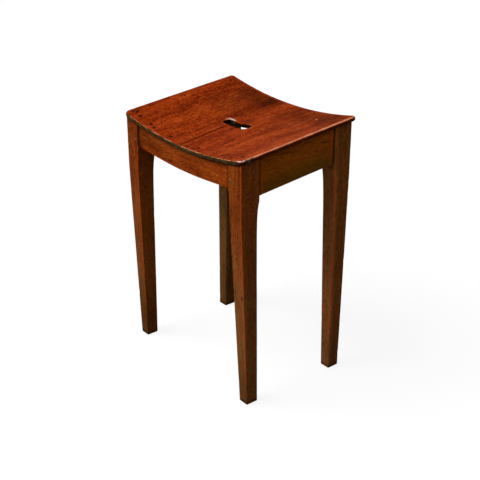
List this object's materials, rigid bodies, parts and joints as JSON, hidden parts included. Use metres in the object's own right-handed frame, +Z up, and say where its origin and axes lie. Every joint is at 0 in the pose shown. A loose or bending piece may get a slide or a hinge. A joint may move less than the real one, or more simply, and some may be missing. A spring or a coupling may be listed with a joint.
{
  "type": "shoe fitting stool",
  "caption": "Low wooden stool with a thin dished and sloping seat, a hand slot through its middle, arched end rails and four square tapered legs.",
  "frame": {"origin": "on the floor, under the middle of the seat", "axes": "+Z up; X across the dish of the seat; +Y towards the high back edge, along the grain"},
  "size_m": [0.374, 0.2779, 0.533],
  "materials": {
    "seat_wood": "worn french polish",
    "leg_wood": "worn french polish",
    "rail_wood": "worn french polish",
    "block_wood": "bare, aged",
    "peg_wood": "polished end grain",
    "nail_iron": "oxidised",
    "stopping": "dark filler"
  },
  "bodies": {
    "root": {"seat_board_left": "seat_wood", "seat_board_right": "seat_wood", "leg_front_left": "leg_wood", "leg_front_right": "leg_wood", "leg_back_left": "leg_wood", "leg_back_right": "leg_wood", "rail_front": "rail_wood", "rail_back": "rail_wood", "rail_left": "rail_wood", "rail_right": "rail_wood", "corner_block_front_left": "block_wood", "corner_block_front_right": "block_wood", "corner_block_back_left": "block_wood", "corner_block_back_right": "block_wood", "peg_front_left": "peg_wood", "peg_front_right": "peg_wood", "peg_back_left": "peg_wood", "peg_back_right": "peg_wood", "nails_front": "nail_iron", "nails_back": "nail_iron", "nails_sides": "nail_iron", "nails_legs": "nail_iron", "stopping_front": "stopping", "stopping_back": "stopping", "stopping_sides": "stopping", "stopping_legs": "stopping"}
  },
  "joints": []
}
